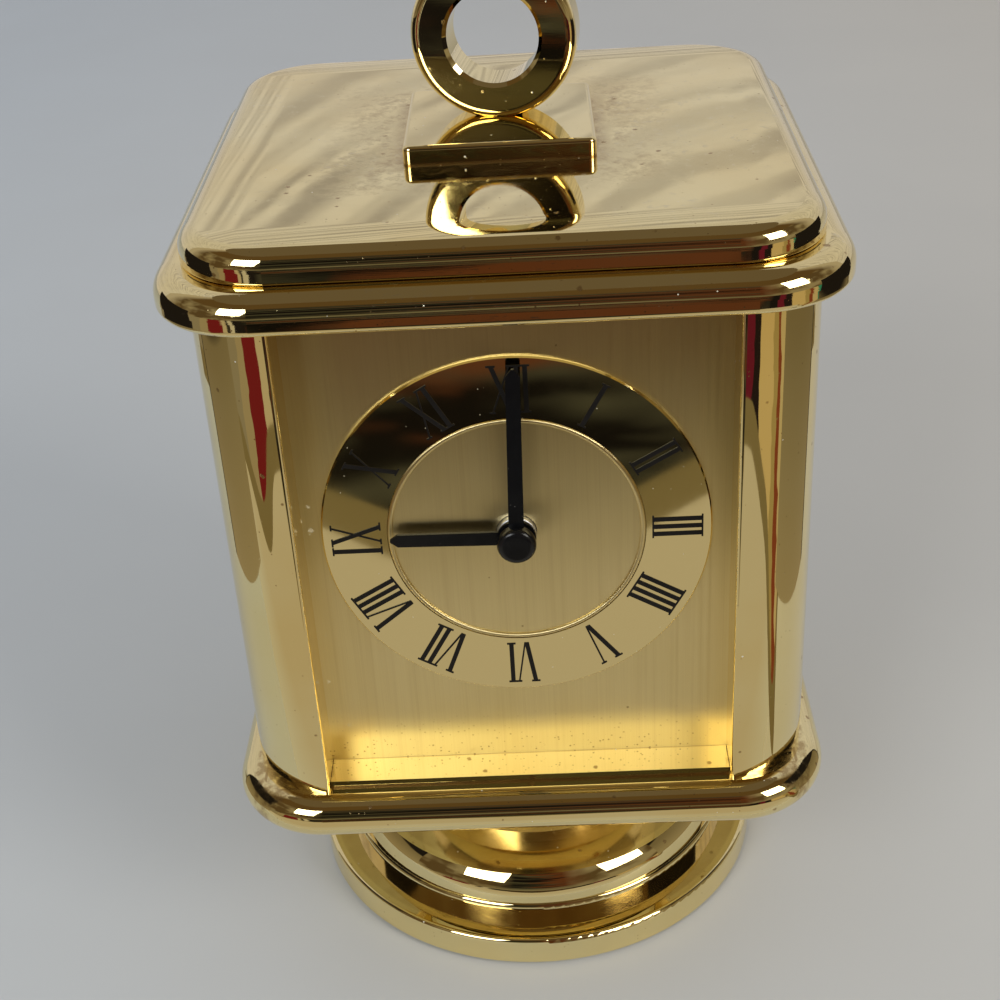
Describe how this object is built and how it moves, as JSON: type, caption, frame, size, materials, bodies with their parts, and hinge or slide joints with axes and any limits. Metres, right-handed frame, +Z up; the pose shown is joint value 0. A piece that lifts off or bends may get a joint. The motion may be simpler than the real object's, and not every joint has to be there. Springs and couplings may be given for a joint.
{
  "type": "photo frame desk clock",
  "caption": "Square polished brass desk clock on a round swivel foot, with a round Roman dial in front, photo frames on the other sides and a lift-off lid with a finger ring.",
  "frame": {"origin": "centre of the foot's underside, on the surface that it stands on", "axes": "+Z up along the foot's spindle, -Y out of the dial, +X to the right as the dial is read"},
  "size_m": [0.0846, 0.0846, 0.1432],
  "materials": {
    "polished_brass": "polished, lightly spotted",
    "brushed_brass": "brushed upright",
    "mirror_brass": "mirror",
    "black_paint": "satin black print",
    "black_hands": "gloss black",
    "nickel": "bright",
    "steel": "turned",
    "felt": "felt",
    "nylon": "natural",
    "wheel_plastic": "moulded",
    "movement_plastic": "moulded",
    "magnet": "plated",
    "copper": "enamelled wire",
    "board": "lacquered board",
    "battery_jacket": "plain printed jacket",
    "clear_pane": "clear",
    "photo_paper": "plain card, no picture",
    "backing_card": "grey board"
  },
  "bodies": {
    "foot": {"foot_disc": "polished_brass", "foot_pad": "felt", "neck_sleeve": "polished_brass", "swivel_spindle": "steel", "friction_washer": "nylon", "thrust_washer": "steel", "wave_washer": "steel", "spindle_nut": "steel"},
    "case": {"base_moulding": "polished_brass", "column_front_left": "polished_brass", "column_front_right": "polished_brass", "column_rear_left": "polished_brass", "column_rear_right": "polished_brass", "top_frame": "polished_brass", "column_screws": "steel", "dial_plate": "brushed_brass", "chapter_ring": "mirror_brass", "dial_centre": "brushed_brass", "hour_numerals": "black_paint", "dial_bush": "nickel", "movement_case": "movement_plastic", "movement_nuts": "steel", "movement_bridge": "movement_plastic", "movement_cover": "movement_plastic", "stator": "steel", "coil": "copper", "circuit_board": "board", "crystal": "nickel", "battery": "battery_jacket", "contact_positive": "nickel", "contact_negative": "nickel"},
    "lid": {"lid": "polished_brass", "lid_skirt": "brushed_brass", "plinth": "polished_brass", "finger_ring": "polished_brass", "ring_screw": "steel"},
    "photo_left": {"photo_pane_left": "clear_pane", "photo_card_left": "photo_paper", "photo_backing_left": "backing_card"},
    "photo_right": {"photo_pane_right": "clear_pane", "photo_card_right": "photo_paper", "photo_backing_right": "backing_card"},
    "photo_rear": {"photo_pane_rear": "clear_pane", "photo_card_rear": "photo_paper", "photo_backing_rear": "backing_card"},
    "minute_arbor": {"cannon_pinion": "wheel_plastic", "minute_hand": "black_hands", "hand_nut": "black_hands"},
    "hour_pipe": {"hour_wheel": "wheel_plastic", "hour_hand": "black_hands"},
    "minute_wheel": {"minute_wheel": "wheel_plastic"},
    "setting_stem": {"setting_pinion": "wheel_plastic", "setting_knob": "movement_plastic"},
    "centre_wheel": {"centre_wheel": "wheel_plastic"},
    "third_wheel": {"third_wheel": "wheel_plastic"},
    "seconds_wheel": {"seconds_wheel": "wheel_plastic"},
    "intermediate_wheel": {"intermediate_wheel": "wheel_plastic"},
    "rotor": {"rotor": "magnet"}
  },
  "joints": [
    {"name": "case_turn", "type": "hinge", "parent": "foot", "child": "case", "pos_m": [0, 0, 0.0322], "axis": [0, 0, 1], "continuous": true},
    {"name": "lid_lift", "type": "slide", "parent": "case", "child": "lid", "axis": [0, 0, 1], "range_m": [0, 0.15]},
    {"name": "photo_left_slide", "type": "slide", "parent": "case", "child": "photo_left", "axis": [0, 0, 1], "range_m": [0, 0.075]},
    {"name": "photo_right_slide", "type": "slide", "parent": "case", "child": "photo_right", "axis": [0, 0, 1], "range_m": [0, 0.075]},
    {"name": "photo_rear_slide", "type": "slide", "parent": "case", "child": "photo_rear", "axis": [0, 0, 1], "range_m": [0, 0.075]},
    {"name": "minute_turn", "type": "hinge", "parent": "case", "child": "minute_arbor", "pos_m": [0, -0.03, 0.07675], "axis": [0, 1, 0], "continuous": true},
    {"name": "hour_turn", "type": "hinge", "parent": "case", "child": "hour_pipe", "pos_m": [0, -0.03, 0.07675], "axis": [0, 1, 0], "continuous": true},
    {"name": "minute_wheel_turn", "type": "hinge", "parent": "case", "child": "minute_wheel", "pos_m": [-0.00707, -0.03, 0.08382], "axis": [0, 1, 0], "continuous": true},
    {"name": "setting_turn", "type": "hinge", "parent": "case", "child": "setting_stem", "pos_m": [-0.00707, -0.02, 0.09432], "axis": [0, 1, 0], "continuous": true},
    {"name": "rotor_turn", "type": "hinge", "parent": "case", "child": "rotor", "pos_m": [0.01137, -0.024, 0.08733], "axis": [0, 1, 0], "continuous": true},
    {"name": "intermediate_wheel_turn", "type": "hinge", "parent": "case", "child": "intermediate_wheel", "pos_m": [0.00593, -0.022, 0.08479], "axis": [0, 1, 0], "continuous": true},
    {"name": "seconds_wheel_turn", "type": "hinge", "parent": "case", "child": "seconds_wheel", "pos_m": [-0.00092, -0.022, 0.08625], "axis": [0, 1, 0], "continuous": true},
    {"name": "third_wheel_turn", "type": "hinge", "parent": "case", "child": "third_wheel", "pos_m": [-0.00779, -0.022, 0.08125], "axis": [0, 1, 0], "continuous": true},
    {"name": "centre_wheel_turn", "type": "hinge", "parent": "case", "child": "centre_wheel", "pos_m": [0, -0.022, 0.07675], "axis": [0, 1, 0], "continuous": true}
  ],
  "couplings": [
    {"joint": "photo_left_slide", "follows": "lid_lift", "ratio": 0.5},
    {"joint": "photo_right_slide", "follows": "lid_lift", "ratio": 0.5},
    {"joint": "photo_rear_slide", "follows": "lid_lift", "ratio": 0.5},
    {"joint": "hour_turn", "follows": "minute_turn", "ratio": 0.083333},
    {"joint": "minute_wheel_turn", "follows": "minute_turn", "ratio": -0.33333},
    {"joint": "setting_turn", "follows": "minute_turn", "ratio": 0.83333},
    {"joint": "intermediate_wheel_turn", "follows": "rotor_turn", "ratio": -0.2},
    {"joint": "seconds_wheel_turn", "follows": "rotor_turn", "ratio": 0.033333},
    {"joint": "third_wheel_turn", "follows": "rotor_turn", "ratio": -0.0044444},
    {"joint": "centre_wheel_turn", "follows": "rotor_turn", "ratio": 0.00055556}
  ]
}
